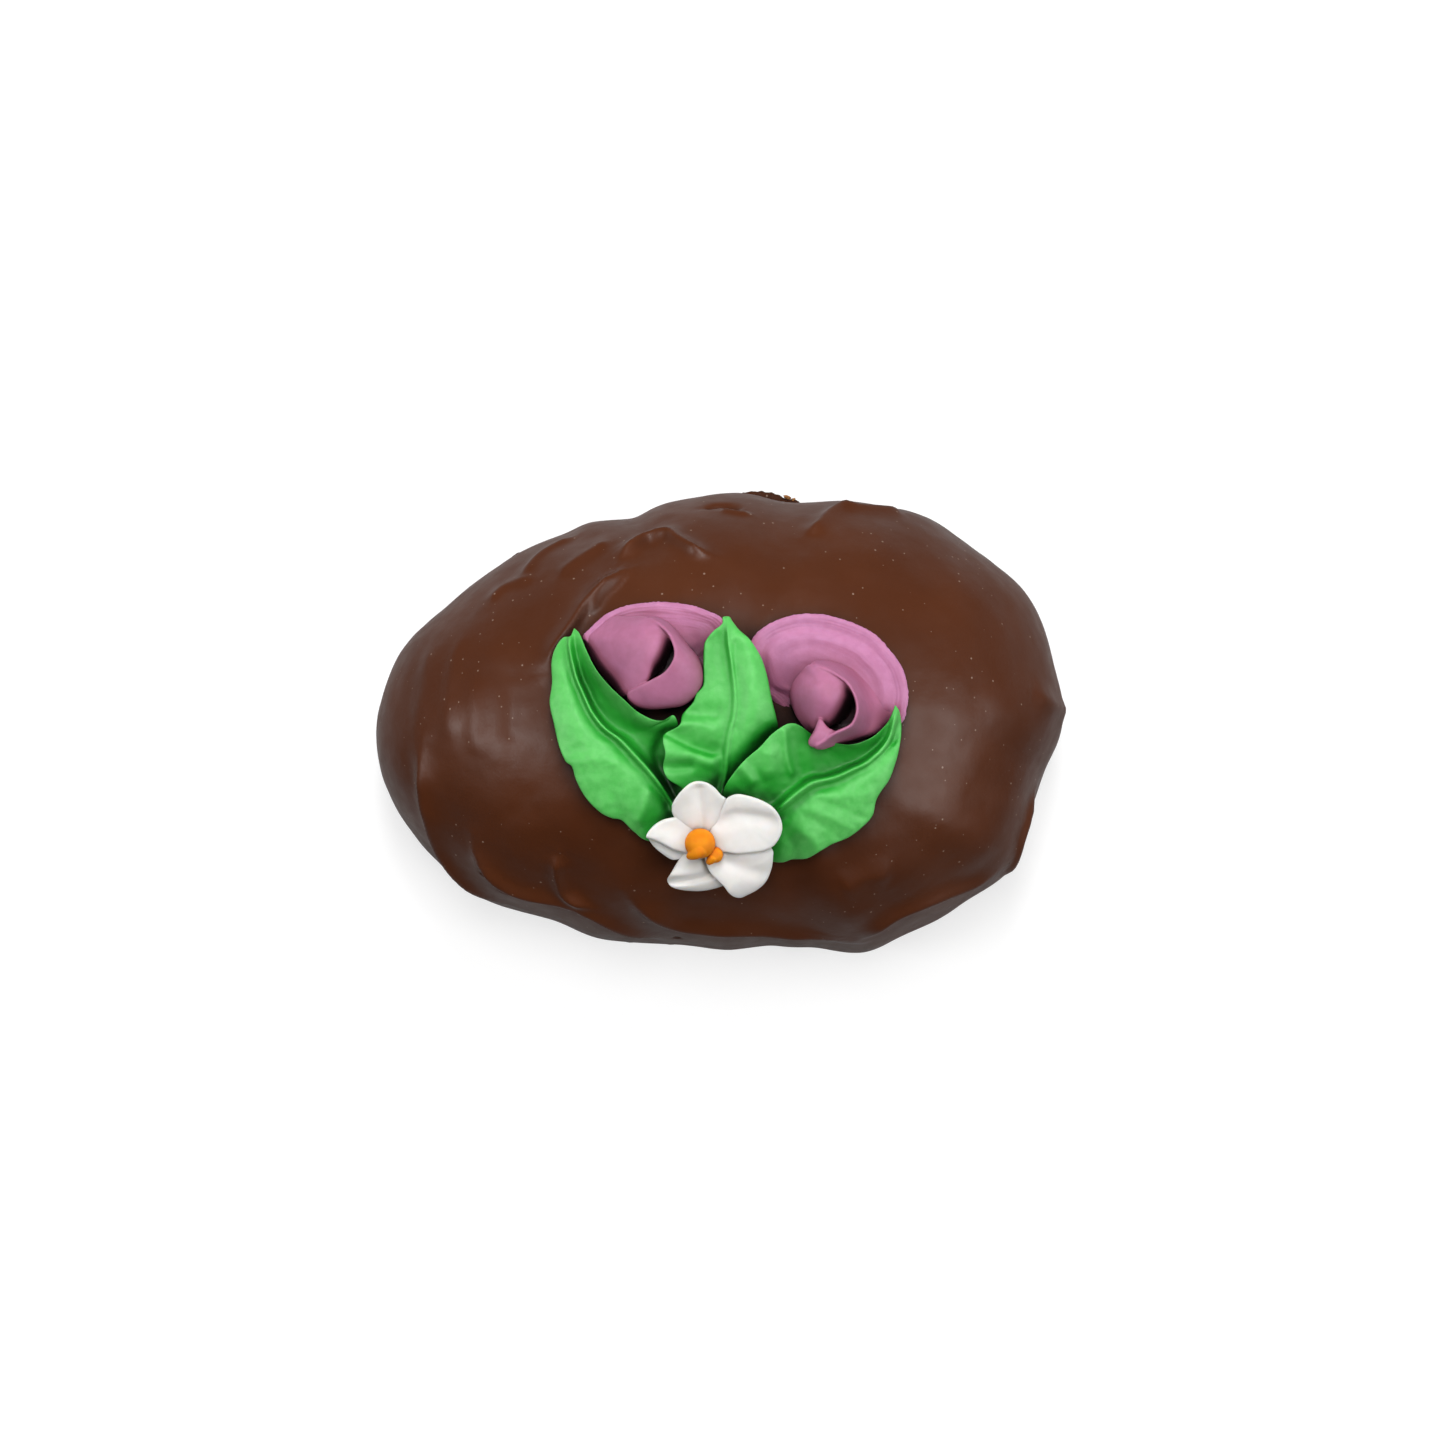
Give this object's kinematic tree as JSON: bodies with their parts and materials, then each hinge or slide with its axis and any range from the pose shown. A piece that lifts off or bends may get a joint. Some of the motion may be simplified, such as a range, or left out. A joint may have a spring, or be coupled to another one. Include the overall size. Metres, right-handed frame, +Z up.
{
  "type": "decorated chocolate egg",
  "caption": "Hand-dipped chocolate egg lying on its flat base, its crown dressed with piped icing tulips, leaves and a white flower.",
  "frame": {"origin": "on the flat base, under the middle of the egg's box", "axes": "+X along the egg towards its blunt end, +Y towards the back, where the tulips open, +Z up out of the crown"},
  "size_m": [0.0998, 0.0688, 0.0508],
  "materials": {
    "chocolate": "dark brown set chocolate, satin, with folds and fine specks",
    "purple_icing": "dusky pink-purple buttercream, matt, finely streaked",
    "green_icing": "bright leaf-green buttercream, soft sheen",
    "white_icing": "smooth white royal icing, matt",
    "orange_icing": "orange icing, soft sheen"
  },
  "bodies": {
    "root": {"egg": "chocolate", "tulip_left_petal": "purple_icing", "tulip_left_bud": "purple_icing", "tulip_right_petal": "purple_icing", "tulip_right_bud": "purple_icing", "leaf_left": "green_icing", "leaf_middle": "green_icing", "leaf_right": "green_icing", "petal_1": "white_icing", "petal_2": "white_icing", "petal_3": "white_icing", "petal_4": "white_icing", "petal_5": "white_icing", "middle_large": "orange_icing", "middle_small": "orange_icing"}
  },
  "joints": []
}
